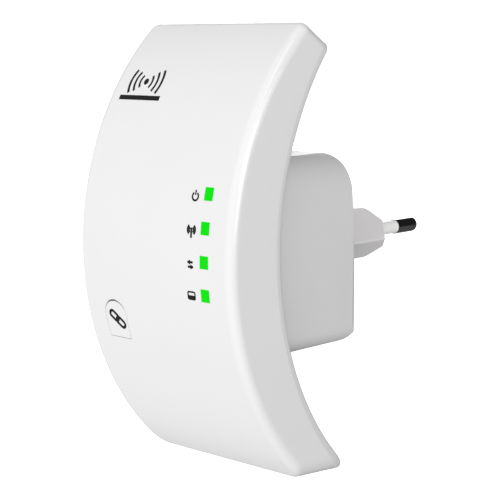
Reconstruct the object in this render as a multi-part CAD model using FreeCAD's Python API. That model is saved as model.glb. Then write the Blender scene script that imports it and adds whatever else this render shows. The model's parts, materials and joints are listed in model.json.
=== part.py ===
"""Plug-in wifi range extender: a curved two-piece case with a mains plug pod on its back.

Frame, in millimetres: the origin is the middle of the plug's engagement face, between the two
pins. +Y points along the pins into the wall, +Z is up and +X is the object's right-hand side.
"""
import FreeCAD, Part
import math
import os

Vec = FreeCAD.Vector

# ---- case: a crescent between a front cylinder and a back cylinder, both lying along X ----
CASE_HALF_WIDTH = 26.5
FRONT = {"radius": 72.5, "y": -1.1, "z": 0.0}
SEAM = {"radius": 79.1, "y": 21.1, "z": 1.0}
BACK = {"radius": 75.9, "y": 19.6, "z": 1.1}
CASE_BOTTOM_Z = -56.0
TOP_CUT_Y = -48.6
TOP_CUT_Z = 56.8
TOP_CUT_ANGLE = 32.0
BOTTOM_Y = -48.6
BOTTOM_ANGLE = 4.3
FAR = 100.0
TOP_CORNER_R = 3.0
BOTTOM_CORNER_R = 5.0
FRONT_EDGE_R = 2.4
BACK_EDGE_R = 0.8
WALL = 1.8
LIP_GAP = 0.15
BACK_PLATE = 1.9

# ---- pod on the back of the case ----
POD_HALF_WIDTH = 22.2
POD_BOTTOM_Z = -25.5
POD_TOP_Z = 23.1
POD_CREASE_Z = 13.8
POD_CREASE_END_Y = -20.0
POD_CREASE_ANGLE = 3.4
POD_TOP_HALF_WIDTH = 13.0
POD_SHOULDER_BULGE = 2.4
POD_REAR_TOP_Y = -25.4
POD_REAR_BOTTOM_Y = -21.4
POD_REAR_TOP_R = 3.5
POD_REAR_BOTTOM_R = 6.0
POD_LOWER_R = 4.5
POD_REAR_SIDE_R = 2.5
POD_REAR_SET_IN = 0.5
POD_FRONT_Y = -60.0

# ---- two-pin mains plug: 35.3 x 13.4 block, 4 mm pins 18 mm apart and 19 mm long ----
PLUG_HALF_WIDTH = 17.65
PLUG_FLAT_HALF = 10.8
PLUG_HALF_HEIGHT = 6.7
PLUG_RIDGE_Z = -1.1
PLUG_EDGE_R = 0.6
PLUG_SHOULDER_R = 2.5
PLUG_TAPER = 4.9
PLUG_END_HALF_WIDTH = 12.5
PLUG_END_HALF_HEIGHT = 2.1
PLUG_INNER_Y = -30.0
PLUG_FLANGE_HALF_WIDTH = 19.6
PLUG_FLANGE_HALF_HEIGHT = 8.6
PLUG_FLANGE_FRONT_Y = -28.6
PIN_X = 9.0
PIN_R = 2.0
PIN_LENGTH = 19.0
PIN_METAL = 9.0
PIN_TIP = 1.2
PIN_CORE_R = 1.5
SLEEVE_R = 1.8
SLEEVE_ROOT = 1.5
PIN_INNER_Y = -33.6
TERMINAL_THICK = 0.5

# ---- front openings ----
LED_X = 17.8
LED_Z = [16.1, 8.2, 0.3, -7.6]
LED_WIDTH = 2.7
LED_HEIGHT = 3.0
LED_GAP = 0.05
BUTTON_X = -14.9
BUTTON_HALF_WIDTH = 3.75
BUTTON_BOTTOM_Z = -22.3
BUTTON_SHOULDER_Z = -15.6
BUTTON_TOP_Z = -12.9
BUTTON_GAP = 0.12
BUTTON_TOP_GAP = 0.45
BUTTON_SKIRT = 0.9
BUTTON_SKIRT_GAP = 0.1
BUTTON_CAP_DEPTH = 3.4
BUTTON_STEM_R = 1.6

# ---- radio board, upright behind the front cover ----
RADIO_FRONT_Y = -62.3
RADIO_THICK = 1.2
RADIO_BACK_Y = RADIO_FRONT_Y + RADIO_THICK
RADIO_HALF_WIDTH = 22.5
RADIO_HALF_HEIGHT = 33.5
RADIO_SCREW_X = 19.6
RADIO_SCREW_Z = 30.2
ANTENNA_HALF_WIDTH = 15.5
ANTENNA_HALF_HEIGHT = 4.2
SWITCH_Z = -18.2
SWITCH_SIDE = 6.0
SWITCH_HEIGHT = 3.5
PLUNGER_R = 1.75
PLUNGER_PROUD = 1.2
PLUNGER_SUNK = 1.0
CONTACT_GAP = 0.02

# ---- port board, upright in the lower half of the pod, with the network jack ----
PORT_FRONT_Y = -46.0
PORT_THICK = 1.2
PORT_BACK_Y = PORT_FRONT_Y + PORT_THICK
PORT_HALF_WIDTH = 17.5
PORT_TOP_Z = -1.6
PORT_BOTTOM_Z = POD_BOTTOM_Z + 2.8
PORT_SCREW_X = 14.6
PORT_SCREW_Z = -11.6
JACK_HALF_WIDTH = 8.0
JACK_DEPTH = 13.5
JACK_BOTTOM_Z = POD_BOTTOM_Z + 0.4
JACK_TOP_Z = -3.6
JACK_SHELL = 0.3
JACK_HOLE_GAP = 0.2
JACK_MOUTH_HALF = 5.95
JACK_MOUTH_FRONT_Y = -43.2
JACK_MOUTH_REAR_Y = -35.0
JACK_MOUTH_DEPTH = 14.0
JACK_LATCH_HALF = 3.1
JACK_LATCH_REAR_Y = -32.9
JACK_CONTACTS = 8
JACK_CONTACT_PITCH = 1.02
RESET_X = 13.2
RESET_Y = -41.6
RESET_BODY_BOTTOM_Z = POD_BOTTOM_Z + 5.0
RESET_BODY_HEIGHT = 3.4
RESET_BODY_HALF = 2.3
RESET_PLUNGER_R = 0.9
RESET_PLUNGER_PROUD = 0.9
RESET_HOLE_R = 0.9

# ---- power board, flat in the upper half of the pod ----
POWER_BOTTOM_Z = 2.4
POWER_THICK = 1.6
POWER_TOP_Z = POWER_BOTTOM_Z + POWER_THICK
POWER_HALF_WIDTH = 19.8
POWER_FRONT_Y = -56.0
POWER_REAR_Y = -31.4
RAIL_REACH = 1.3
RAIL_HEIGHT = 1.0
RAIL_GAP = 0.1

TRANSFORMER_X = -9.0
TRANSFORMER_Y = -46.6
CORE_HALF_WIDTH = 6.6
CORE_HALF_DEPTH = 3.0
CORE_HEIGHT = 13.0
CORE_LEG = 2.0
CORE_YOKE = 2.4
CORE_MIDDLE_HALF = 1.5
BOBBIN_HALF_WIDTH = 4.5

# ---- cooling slots under the pod ----
VENT_COUNT = 6
VENT_FIRST_Y = -45.9
VENT_PITCH = 3.0
VENT_X = -13.75
VENT_HALF_LENGTH = 3.25
VENT_HALF_WIDTH = 0.6

# ---- screws ----
SCREW_R = 1.0
SCREW_HOLE_R = 1.03
SCREW_HEAD_R = 1.9
SCREW_HEAD_HEIGHT = 1.4
SCREW_HEAD_ROUND = 0.6
CROSS_DEPTH = 0.9
CROSS_HALF_LENGTH = 1.1
CROSS_HALF_WIDTH = 0.25
BOSS_R = 2.4
CASE_SCREW_X = 19.2
CASE_SCREW_Z = 41.0
CASE_SCREW_PIT_R = 2.3
CASE_SCREW_HEAD_Y = -48.6
CASE_SCREW_SEAT = 1.4

# ---- label ----
LABEL_HALF_WIDTH = 15.0
LABEL_BOTTOM_Z = -16.9
LABEL_TOP_Z = -9.5
LABEL_THICK = 0.12


def box(x0, x1, y0, y1, z0, z1):
    """A box between two corners."""
    return Part.makeBox(x1 - x0, y1 - y0, z1 - z0, Vec(x0, y0, z0))


def slab(half_width, y0, y1, z0, z1):
    """A box that is even about X = 0."""
    return box(-half_width, half_width, y0, y1, z0, z1)


def block_at(x, y, half_x, half_y, z0, z1):
    """A box centred on a place seen from above."""
    return box(x - half_x, x + half_x, y - half_y, y + half_y, z0, z1)


def rod_x(radius, y, z, half_length):
    """A cylinder along X, centred on X = 0."""
    return Part.makeCylinder(radius, 2 * half_length, Vec(-half_length, y, z), Vec(1, 0, 0))


def rod_y(radius, x, z, y0, y1):
    """A cylinder along Y from y0 to y1."""
    return Part.makeCylinder(radius, y1 - y0, Vec(x, y0, z), Vec(0, 1, 0))


def rod_z(radius, x, y, z0, z1):
    """A cylinder along Z from z0 to z1."""
    return Part.makeCylinder(radius, z1 - z0, Vec(x, y, z0), Vec(0, 0, 1))


def prism(points, direction):
    """A closed polygon of points pushed along a direction."""
    wire = Part.makePolygon([Vec(*p) for p in points + points[:1]])
    return Part.Face(wire).extrude(Vec(*direction))


def fuse(shapes):
    """One solid from several that touch or overlap."""
    whole = shapes[0].multiFuse(shapes[1:]).removeSplitter()
    return whole


def mirrored(shape):
    """The shape and its twin on the other side of X = 0."""
    return [shape, shape.mirror(Vec(0, 0, 0), Vec(1, 0, 0))]


def round_edges(shape, radius, wanted):
    """Fillet the edges that a test picks out."""
    edges = [e for e in shape.Edges if wanted(e)]
    return shape.makeFillet(radius, edges)


def face_y(curve, z, inset=0.0):
    """Y of a case cylinder's near side at height z."""
    radius = curve["radius"] - inset
    return curve["y"] - math.sqrt(radius ** 2 - (z - curve["z"]) ** 2)


def cylinder_of(curve, inset, half_length):
    """The solid cylinder behind a case curve, its radius reduced by an inset."""
    return rod_x(curve["radius"] - inset, curve["y"], curve["z"], half_length)


def end_trim(inset):
    """The tall slab that the case ends stay inside: sloped on top and a little sloped below."""
    top_slope = math.radians(TOP_CUT_ANGLE)
    low_slope = math.radians(BOTTOM_ANGLE)
    top_y = TOP_CUT_Y - inset * math.sin(top_slope)
    top_z = TOP_CUT_Z - inset * math.cos(top_slope)
    bottom = CASE_BOTTOM_Z + inset / math.cos(low_slope)
    rise = FAR * math.tan(top_slope)
    fall = FAR * math.tan(low_slope)
    outline = [
        (-FAR, top_y - FAR, top_z + rise),
        (-FAR, top_y + FAR, top_z - rise),
        (-FAR, BOTTOM_Y + FAR, bottom - fall),
        (-FAR, BOTTOM_Y - FAR, bottom + fall),
    ]
    return prism(outline, (2 * FAR, 0, 0))


def crescent(front_inset, back_curve, back_inset, end_inset, half_width):
    """The part of the front cylinder that lies outside a back cylinder."""
    solid = cylinder_of(FRONT, front_inset, half_width)
    near_half = box(-FAR, FAR, -FAR, -20.0, -FAR, FAR)
    solid = solid.common(near_half).common(end_trim(end_inset))
    return solid.cut(cylinder_of(back_curve, back_inset, FAR))


def is_end_corner(edge, side):
    """A short edge that runs front to back at a top (side 1) or bottom (side -1) corner."""
    bounds = edge.BoundBox
    at_side = bounds.XLength < 0.01 and abs(abs(bounds.XMin) - CASE_HALF_WIDTH) < 0.01
    return at_side and edge.Curve.TypeId == "Part::GeomLine" and bounds.Center.z * side > 0


def on_curve(edge, curve, tolerance=0.02):
    """Whether every part of an edge lies on a case cylinder."""
    span = edge.ParameterRange
    steps = 6
    for i in range(steps + 1):
        point = edge.valueAt(span[0] + (span[1] - span[0]) * i / steps)
        away = math.hypot(point.y - curve["y"], point.z - curve["z"]) - curve["radius"]
        if abs(away) > tolerance:
            return False
    return True


def case_block():
    """The whole case outside, rounded, before it is split and hollowed."""
    block = crescent(0.0, BACK, 0.0, 0.0, CASE_HALF_WIDTH)
    block = round_edges(block, TOP_CORNER_R, lambda e: is_end_corner(e, 1))
    block = round_edges(block, BOTTOM_CORNER_R, lambda e: is_end_corner(e, -1))
    block = round_edges(block, FRONT_EDGE_R, lambda e: on_curve(e, FRONT))
    return round_edges(block, BACK_EDGE_R, lambda e: on_curve(e, BACK))


def case_inside(plate):
    """The hollow of the case behind the front wall, as far back as a plate of that thickness."""
    return crescent(WALL, BACK, -plate, WALL, CASE_HALF_WIDTH - WALL)


def button_outline(grow, top_grow):
    """The arch-shaped button outline as a wire in a plane across Y, with its own gap at the crown."""
    left = BUTTON_X - BUTTON_HALF_WIDTH - grow
    right = BUTTON_X + BUTTON_HALF_WIDTH + grow
    low = BUTTON_BOTTOM_Z - grow
    shoulder = BUTTON_SHOULDER_Z
    a = Vec(left, -FAR, low)
    b = Vec(right, -FAR, low)
    c = Vec(right, -FAR, shoulder)
    top = Vec(BUTTON_X, -FAR, BUTTON_TOP_Z + top_grow)
    d = Vec(left, -FAR, shoulder)
    edges = [
        Part.LineSegment(a, b).toShape(),
        Part.LineSegment(b, c).toShape(),
        Part.Arc(c, top, d).toShape(),
        Part.LineSegment(d, a).toShape(),
    ]
    return Part.Wire(edges)


def button_prism(grow, top_grow, rear_y):
    """The button outline run from in front of the case back to rear_y."""
    face = Part.Face(button_outline(grow, top_grow))
    return face.extrude(Vec(0, FAR + rear_y, 0))


def led_windows(gap):
    """Four small blocks through the front wall, one for each indicator."""
    half_w = LED_WIDTH / 2 + gap
    half_h = LED_HEIGHT / 2 + gap
    return [
        box(LED_X - half_w, LED_X + half_w, -FAR, RADIO_FRONT_Y - 1.2, z - half_h, z + half_h)
        for z in LED_Z
    ]


def front_bosses():
    """Screw bosses inside the front cover, as (solid bosses, holes)."""
    bosses = []
    holes = []
    for x in (-RADIO_SCREW_X, RADIO_SCREW_X):
        for z in (-RADIO_SCREW_Z, RADIO_SCREW_Z):
            bosses.append(rod_y(BOSS_R, x, z, -FAR, RADIO_FRONT_Y))
            holes.append(rod_y(SCREW_HOLE_R, x, z, face_y(FRONT, z, WALL) - 0.2, 0))
    for x in (-CASE_SCREW_X, CASE_SCREW_X):
        for z in (-CASE_SCREW_Z, CASE_SCREW_Z):
            seat = CASE_SCREW_HEAD_Y - CASE_SCREW_SEAT - LIP_GAP
            bosses.append(rod_y(BOSS_R, x, z, -FAR, seat))
            holes.append(rod_y(SCREW_HOLE_R, x, z, face_y(FRONT, z, WALL) + 0.4, 0))
    return bosses, holes


def front_cover(block):
    """The curved front shell with its side walls, ends, windows and button hole."""
    shell = block.cut(cylinder_of(SEAM, 0.0, FAR)).cut(case_inside(0.0))
    bosses, holes = front_bosses()
    outside = crescent(0.8, BACK, 0.0, 0.8, CASE_HALF_WIDTH - 0.8)
    shell = fuse([shell] + [boss.common(outside) for boss in bosses])
    for hole in holes:
        shell = shell.cut(hole)
    shell = shell.cut(button_prism(BUTTON_GAP, BUTTON_TOP_GAP, RADIO_FRONT_Y))
    for window in led_windows(LED_GAP):
        shell = shell.cut(window)
    return shell


def pod_side_prism(inset):
    """The pod seen from the side: sloped rear face and rounded rear corners."""
    low = POD_BOTTOM_Z + inset
    top = POD_TOP_Z - inset
    outline = [
        (-FAR, POD_FRONT_Y, low),
        (-FAR, POD_REAR_BOTTOM_Y - inset, low),
        (-FAR, POD_REAR_TOP_Y - inset, top),
        (-FAR, POD_FRONT_Y, top),
    ]
    solid = prism(outline, (2 * FAR, 0, 0))
    corners = {top: POD_REAR_TOP_R - inset, low: POD_REAR_BOTTOM_R - inset}
    for z, radius in corners.items():
        solid = round_edges(solid, radius, lambda e: is_rear_edge(e) and at_height(e, z))
    return solid


def is_rear_edge(edge):
    """A long edge along X at the back of the pod."""
    return edge.BoundBox.XLength > FAR and edge.BoundBox.YMin > POD_FRONT_Y + 1


def at_height(edge, z):
    """Whether an edge's lowest point is at height z."""
    return abs(edge.BoundBox.ZMin - z) < 0.01


def line_between(start, end):
    """A straight edge between two points."""
    return Part.LineSegment(start, end).toShape()


def pod_wall_prism(inset):
    """The pod's side walls and underside, with rounded lower edges."""
    half = POD_HALF_WIDTH - inset
    low = POD_BOTTOM_Z + inset
    solid = slab(half, -FAR, FAR, low, FAR)
    return round_edges(
        solid, POD_LOWER_R - inset, lambda e: e.BoundBox.YLength > FAR and at_height(e, low),
    )


def pod_shoulder_cut(inset):
    """What is taken off the right shoulder: all that lies outside an arc from the crease up."""
    half = POD_HALF_WIDTH - inset
    top = POD_TOP_Z - inset
    chord = Vec(POD_TOP_HALF_WIDTH - half, 0, top - POD_CREASE_Z)
    out = Vec(chord.z, 0, -chord.x).normalize() * POD_SHOULDER_BULGE
    crease = Vec(half, POD_CREASE_END_Y, POD_CREASE_Z)
    head = Vec(POD_TOP_HALF_WIDTH, POD_CREASE_END_Y, top)
    above = Vec(POD_TOP_HALF_WIDTH, POD_CREASE_END_Y, FAR)
    corner = Vec(FAR, POD_CREASE_END_Y, FAR)
    beside = Vec(FAR, POD_CREASE_END_Y, POD_CREASE_Z)
    edges = [
        Part.Arc(crease, (crease + head) * 0.5 + out, head).toShape(),
        line_between(head, above),
        line_between(above, corner),
        line_between(corner, beside),
        line_between(beside, crease),
    ]
    climb = math.tan(math.radians(POD_CREASE_ANGLE))
    return Part.Face(Part.Wire(edges)).extrude(Vec(0, -FAR, FAR * climb))


def pod_top_prism(inset):
    """The pod seen from above: rounded upright corners at the rear."""
    rear = POD_REAR_BOTTOM_Y - POD_REAR_SET_IN - inset
    solid = slab(POD_HALF_WIDTH - inset, POD_FRONT_Y - 1, rear, -FAR, FAR)
    return round_edges(
        solid, POD_REAR_SIDE_R, lambda e: e.BoundBox.ZLength > FAR and e.BoundBox.YMin > rear - 1,
    )


def pod_block(inset):
    """The pod as a solid block, from inside the case to its rear face."""
    block = pod_side_prism(inset).common(pod_wall_prism(inset)).common(pod_top_prism(inset))
    for shoulder in mirrored(pod_shoulder_cut(inset)):
        block = block.cut(shoulder)
    return block


def board_rails():
    """Two pairs of rails on the pod's side walls that hold the power board."""
    inner = POD_HALF_WIDTH - WALL
    rails = []
    for z in (POWER_BOTTOM_Z - RAIL_GAP - RAIL_HEIGHT, POWER_TOP_Z + RAIL_GAP):
        rail = box(inner - RAIL_REACH, inner + 0.5, -50.0, -33.0, z, z + RAIL_HEIGHT)
        rails += mirrored(rail)
    return rails


def port_posts():
    """Two posts from the pod's rear wall that carry the port board."""
    post = rod_y(BOSS_R, PORT_SCREW_X, PORT_SCREW_Z, PORT_BACK_Y, POD_REAR_BOTTOM_Y)
    return mirrored(post)


def jack_hole():
    """The opening in the pod's underside that the network jack shows through."""
    half = JACK_HALF_WIDTH + JACK_HOLE_GAP
    front = PORT_BACK_Y - JACK_HOLE_GAP
    rear = PORT_BACK_Y + JACK_DEPTH + JACK_HOLE_GAP
    return box(-half, half, front, rear, POD_BOTTOM_Z - 1, POD_BOTTOM_Z + WALL + 1)


def vent_slots():
    """A short row of cooling slots in the pod's underside, beside the jack."""
    slots = []
    low = POD_BOTTOM_Z - 1
    high = POD_BOTTOM_Z + WALL + 1
    for i in range(VENT_COUNT):
        y = VENT_FIRST_Y + i * VENT_PITCH
        slots.append(block_at(VENT_X, y, VENT_HALF_LENGTH, VENT_HALF_WIDTH, low, high))
    return slots


def rear_cover(block):
    """The back shell: rim, curved back plate, pod walls, rails, posts and screw pits."""
    rim = block.common(cylinder_of(SEAM, 0.0, FAR)).cut(case_inside(BACK_PLATE))
    inset = WALL + LIP_GAP
    lip = crescent(inset, BACK, 0.0, inset, CASE_HALF_WIDTH - inset)
    lip = lip.common(cylinder_of(BACK, -BACK_PLATE, FAR))
    pits = []
    towers = []
    for x in (-CASE_SCREW_X, CASE_SCREW_X):
        for z in (-CASE_SCREW_Z, CASE_SCREW_Z):
            seat = CASE_SCREW_HEAD_Y - CASE_SCREW_SEAT
            tower = rod_y(CASE_SCREW_PIT_R + 1.0, x, z, seat, -20.0)
            towers.append(tower.cut(cylinder_of(BACK, 0.0, FAR)).common(end_trim(inset)))
            pits.append(rod_y(SCREW_R + 0.2, x, z, -60.0, -20.0))
            pits.append(rod_y(CASE_SCREW_PIT_R, x, z, CASE_SCREW_HEAD_Y, -20.0))
    mouth = pod_block(WALL)
    pod = pod_block(0.0).common(cylinder_of(BACK, -BACK_PLATE, FAR)).cut(mouth)
    shell = fuse([rim, lip, pod] + towers).cut(mouth)
    inside_pod = pod_block(0.5)
    extras = [piece.common(inside_pod) for piece in board_rails() + port_posts()]
    shell = fuse([shell] + extras)
    for x in (-PORT_SCREW_X, PORT_SCREW_X):
        pits.append(rod_y(SCREW_HOLE_R, x, PORT_SCREW_Z, -60.0, -30.0))
    pits.append(rod_z(RESET_HOLE_R, RESET_X, RESET_Y, POD_BOTTOM_Z - 1, POD_BOTTOM_Z + WALL + 1))
    pits.append(jack_hole())
    pits.append(plug_section())
    for pit in pits + vent_slots():
        shell = shell.cut(pit)
    return shell


def plug_section():
    """The plug block seen along the pins: a long six-sided bar."""
    outline = [
        (PLUG_HALF_WIDTH, PLUG_INNER_Y, PLUG_RIDGE_Z),
        (PLUG_FLAT_HALF, PLUG_INNER_Y, PLUG_HALF_HEIGHT),
        (-PLUG_FLAT_HALF, PLUG_INNER_Y, PLUG_HALF_HEIGHT),
        (-PLUG_HALF_WIDTH, PLUG_INNER_Y, PLUG_RIDGE_Z),
        (-PLUG_FLAT_HALF, PLUG_INNER_Y, -PLUG_HALF_HEIGHT),
        (PLUG_FLAT_HALF, PLUG_INNER_Y, -PLUG_HALF_HEIGHT),
    ]
    bar = prism(outline, (0, -PLUG_INNER_Y, 0))
    return round_edges(bar, PLUG_EDGE_R, lambda e: e.BoundBox.YLength > 1)


def plug_side_view():
    """The plug block seen from the side: flat, then tapered to its nose."""
    outline = [
        (-FAR, PLUG_INNER_Y, -PLUG_HALF_HEIGHT),
        (-FAR, -PLUG_TAPER, -PLUG_HALF_HEIGHT),
        (-FAR, 0.0, -PLUG_END_HALF_HEIGHT),
        (-FAR, 0.0, PLUG_END_HALF_HEIGHT),
        (-FAR, -PLUG_TAPER, PLUG_HALF_HEIGHT),
        (-FAR, PLUG_INNER_Y, PLUG_HALF_HEIGHT),
    ]
    solid = prism(outline, (2 * FAR, 0, 0))
    return round_edges(solid, PLUG_SHOULDER_R, is_plug_shoulder)


def is_plug_shoulder(edge):
    """A long edge along X where the plug block starts to taper."""
    return edge.BoundBox.XLength > FAR and abs(edge.BoundBox.YMin + PLUG_TAPER) < 0.01


def plug_top_view():
    """The plug block seen from above: straight, then tapered to its nose."""
    outline = [
        (-PLUG_HALF_WIDTH, PLUG_INNER_Y, -FAR),
        (PLUG_HALF_WIDTH, PLUG_INNER_Y, -FAR),
        (PLUG_HALF_WIDTH, -PLUG_TAPER, -FAR),
        (PLUG_END_HALF_WIDTH, 0.0, -FAR),
        (-PLUG_END_HALF_WIDTH, 0.0, -FAR),
        (-PLUG_HALF_WIDTH, -PLUG_TAPER, -FAR),
    ]
    return prism(outline, (0, 0, 2 * FAR))


def plug_base():
    """The plug block with its tapered nose, its flange inside the pod and two pin holes."""
    block = plug_section().common(plug_side_view()).common(plug_top_view())
    flange = slab(
        PLUG_FLANGE_HALF_WIDTH, PLUG_FLANGE_FRONT_Y, -20.0, -PLUG_FLANGE_HALF_HEIGHT, PLUG_FLANGE_HALF_HEIGHT,
    )
    base = fuse([block, flange.common(pod_block(WALL))])
    for x in (-PIN_X, PIN_X):
        base = base.cut(rod_y(PIN_CORE_R, x, 0, -40, 10))
        base = base.cut(rod_y(SLEEVE_R, x, 0, -SLEEVE_ROOT, 10))
    return base


def plug_pin(x):
    """One round pin: a slim core through the plug block and a full-size metal end."""
    core = rod_y(PIN_CORE_R, x, 0, PIN_INNER_Y, PIN_LENGTH - PIN_METAL)
    metal = rod_y(PIN_R, x, 0, PIN_LENGTH - PIN_METAL, PIN_LENGTH)
    metal = round_edges(metal, PIN_TIP, lambda e: e.BoundBox.YMin > PIN_LENGTH - 0.01)
    return core.fuse(metal).removeSplitter()


def pin_sleeves():
    """Insulating sleeves over the first ten millimetres of both pins."""
    sleeve = rod_y(SLEEVE_R, PIN_X, 0, -SLEEVE_ROOT, PIN_LENGTH - PIN_METAL)
    sleeve = sleeve.cut(rod_y(PIN_CORE_R, PIN_X, 0, -10, 20))
    return Part.makeCompound(mirrored(sleeve))


def pin_terminals():
    """Bent brass tabs from the pins' inner ends up through the power board."""
    shoulder = POWER_BOTTOM_Z - 0.4
    middle_y = PIN_INNER_Y - TERMINAL_THICK / 2
    back = block_at(PIN_X, middle_y, PIN_R, TERMINAL_THICK / 2, -PIN_R, shoulder)
    tail = block_at(PIN_X, middle_y, 0.6, TERMINAL_THICK / 2, shoulder, POWER_TOP_Z + 0.8)
    return Part.makeCompound(mirrored(back.fuse(tail).removeSplitter()))


def wps_button():
    """The arch-shaped push button, its rear skirt and the stem that meets the switch."""
    cap = button_prism(0.0, 0.0, RADIO_FRONT_Y).common(crescent(0.0, SEAM, 0.0, 0.0, CASE_HALF_WIDTH))
    cap = cap.cut(cylinder_of(FRONT, BUTTON_CAP_DEPTH, FAR))
    skirt_front = WALL + BUTTON_SKIRT_GAP
    skirt = button_prism(BUTTON_SKIRT, BUTTON_SKIRT, RADIO_FRONT_Y)
    skirt = skirt.common(cylinder_of(FRONT, skirt_front, FAR))
    skirt = skirt.cut(cylinder_of(FRONT, skirt_front + BUTTON_SKIRT, FAR))
    stem_end = RADIO_FRONT_Y - SWITCH_HEIGHT - PLUNGER_PROUD - CONTACT_GAP
    stem = rod_y(BUTTON_STEM_R, BUTTON_X, SWITCH_Z, -70.0, stem_end)
    return fuse([cap, skirt, stem])


def light_guide():
    """Four clear prongs from the indicators to the front face, joined by a thin bar."""
    prongs = [w.common(cylinder_of(FRONT, 0.0, FAR)) for w in led_windows(0.0)]
    bar_front = RADIO_FRONT_Y - 3.6
    bar = box(LED_X + 0.4, LED_X + 3.2, bar_front, bar_front + 1.6, LED_Z[-1] - 3.0, LED_Z[0] + 3.0)
    return fuse(prongs + [bar])


def radio_board():
    """The upright main board with its four screw holes."""
    board = slab(RADIO_HALF_WIDTH, RADIO_FRONT_Y, RADIO_BACK_Y, -RADIO_HALF_HEIGHT, RADIO_HALF_HEIGHT)
    board = round_edges(board, 1.5, lambda e: e.BoundBox.YLength > 1 and e.BoundBox.ZLength < 0.1)
    for x in (-RADIO_SCREW_X, RADIO_SCREW_X):
        for z in (-RADIO_SCREW_Z, RADIO_SCREW_Z):
            board = board.cut(rod_y(SCREW_R + 0.2, x, z, -70, -50))
    for pin_x, pin_z in link_places():
        board = board.cut(rod_y(0.45, pin_x, pin_z, -70, -50))
    return board


def chip_on_front(x, z, width, height, thick):
    """A flat package standing on the radio board's front face."""
    return block_at(x, RADIO_FRONT_Y - thick / 2, width / 2, thick / 2, z - height / 2, z + height / 2)


def chip_on_back(x, z, width, height, thick):
    """A flat package standing on the radio board's back face."""
    return block_at(x, RADIO_BACK_Y + thick / 2, width / 2, thick / 2, z - height / 2, z + height / 2)


def main_chip():
    """The radio and network processor."""
    return chip_on_front(-2.0, 4.0, 11.0, 11.0, 0.9)


def flash_chip():
    """The eight-leg program memory."""
    body = chip_on_front(-2.0, -10.0, 5.3, 5.3, 1.8)
    legs = []
    for i in range(4):
        z = -10.0 - 1.905 + i * 1.27
        for side in (-1, 1):
            x = -2.0 + side * 3.3
            legs.append(box(x - 0.7, x + 0.7, RADIO_FRONT_Y - 0.25, RADIO_FRONT_Y, z - 0.2, z + 0.2))
    return fuse([body] + legs)


def rf_shield():
    """The folded metal can over the radio output stage."""
    outer = chip_on_front(-3.0, 21.5, 22.0, 15.0, 2.2)
    inner = box(-13.7, 7.7, RADIO_FRONT_Y - 2.0, RADIO_FRONT_Y, 14.3, 28.7)
    return outer.cut(inner)


def crystal():
    """The metal-lidded clock crystal."""
    return chip_on_front(7.5, 4.0, 3.2, 2.5, 0.8)


def indicator_leds():
    """Four surface-mount lamps behind the light guide."""
    return Part.makeCompound([chip_on_front(LED_X, z, 1.6, 1.6, 0.8) for z in LED_Z])


def wps_switch():
    """The square tact switch body on the radio board, with its plunger well and four legs."""
    half = SWITCH_SIDE / 2
    well_end = RADIO_FRONT_Y - SWITCH_HEIGHT + PLUNGER_SUNK + 0.5
    body = chip_on_front(BUTTON_X, SWITCH_Z, SWITCH_SIDE, SWITCH_SIDE, SWITCH_HEIGHT)
    well = rod_y(PLUNGER_R + 0.05, BUTTON_X, SWITCH_Z, -80, well_end)
    legs = []
    for side_x in (-1, 1):
        for side_z in (-1, 1):
            x = BUTTON_X + side_x * (half + 0.5)
            z = SWITCH_Z + side_z * 2.25
            legs.append(box(x - 0.6, x + 0.6, RADIO_FRONT_Y - 0.3, RADIO_FRONT_Y, z - 0.35, z + 0.35))
    return fuse([body.cut(well)] + legs)


def wps_plunger():
    """The round plunger of the tact switch under the button's stem."""
    front = RADIO_FRONT_Y - SWITCH_HEIGHT - PLUNGER_PROUD
    return rod_y(PLUNGER_R, BUTTON_X, SWITCH_Z, front, RADIO_FRONT_Y - SWITCH_HEIGHT + PLUNGER_SUNK)


def chip_rows(places, width, height, thick):
    """Small capacitors and resistors at places on the radio board's front face."""
    return [chip_on_front(x, z, width, height, thick) for x, z in places]


def radio_small_parts():
    """The small capacitors and resistors round the radio chips."""
    ring = [(-9.6, -1 + 1.9 * i) for i in range(6)]
    ring += [(5.6, -4 + 1.9 * i) for i in range(3)]
    ring += [(-7 + 2.3 * i, -2.8) for i in range(5)]
    feed = [(-9.4 + 2.6 * i, -15.6) for i in range(8)]
    lamps = [(12.6, z) for z in LED_Z]
    return Part.makeCompound(
        chip_rows(ring, 1.0, 0.55, 0.5) + chip_rows(feed, 1.6, 0.8, 0.6) + chip_rows(lamps, 1.6, 0.8, 0.5)
    )


def supply_inductor():
    """The shielded coil of the radio board's step-down supply."""
    body = chip_on_back(-14.0, 12.0, 5.0, 5.0, 2.0)
    return round_edges(body, 0.8, lambda e: e.BoundBox.YLength > 1.5)


def antenna(tilt, centre_radius):
    """A stamped antenna plate on its carrier, square to a ray of the front curve."""
    half_x = ANTENNA_HALF_WIDTH
    half_height = ANTENNA_HALF_HEIGHT
    plate = box(-half_x, half_x, -0.4, 0.4, -half_height, half_height)
    slot = box(-half_x + 3.0, half_x - 9.0, -1, 1, -1.0, 0.6)
    plate = plate.cut(slot)
    plate.translate(Vec(0, -centre_radius, 0))
    plate.rotate(Vec(0, 0, 0), Vec(1, 0, 0), tilt)
    plate.translate(Vec(0, FRONT["y"], FRONT["z"]))
    return plate


def upper_antenna():
    """The antenna behind the top of the front cover."""
    return antenna(-38.5, 67.4)


def lower_antenna():
    """The antenna behind the bottom of the front cover."""
    return antenna(38.5, 67.4)


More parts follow.
